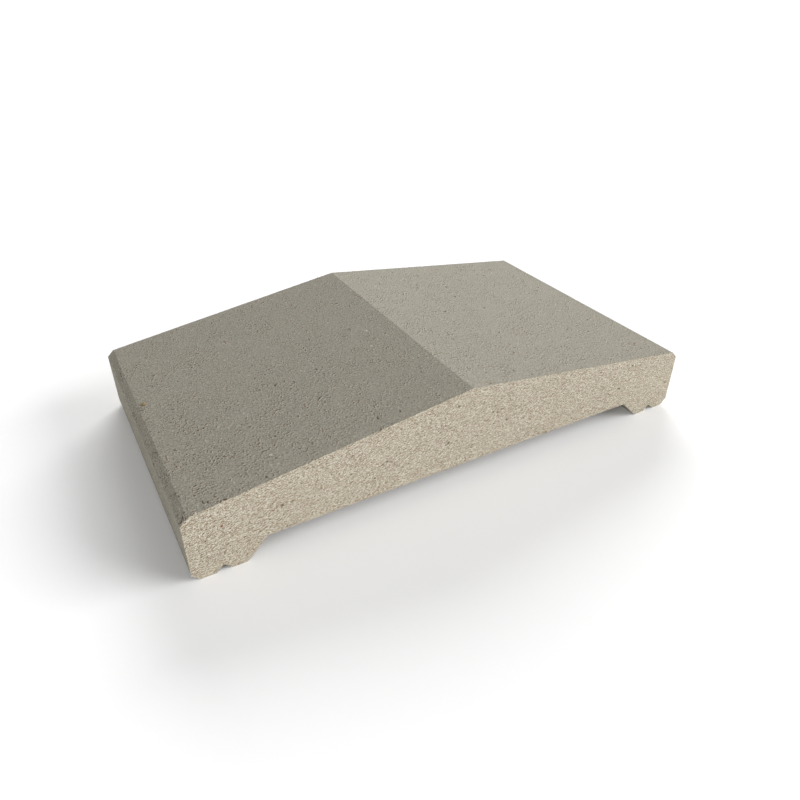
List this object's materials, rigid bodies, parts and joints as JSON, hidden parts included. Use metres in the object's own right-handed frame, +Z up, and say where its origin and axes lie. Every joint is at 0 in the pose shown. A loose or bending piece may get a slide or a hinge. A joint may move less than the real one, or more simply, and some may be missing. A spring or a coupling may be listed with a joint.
{
  "type": "saddleback coping block",
  "caption": "Saddleback concrete coping block: the top falls both ways from a ridge, the long edges are chamfered, and feet with drip grooves flank a shallow bed recess.",
  "frame": {"origin": "on the plane of the feet, under the middle of the ridge", "axes": "+X across the wall, +Y along the wall and the ridge, +Z up"},
  "size_m": [0.4, 0.225, 0.0765],
  "materials": {
    "pressed_concrete": "dry fine-grained concrete, grey-beige, pitted, sandier on the two end faces"
  },
  "bodies": {
    "root": {"coping_block": "pressed_concrete"}
  },
  "joints": []
}
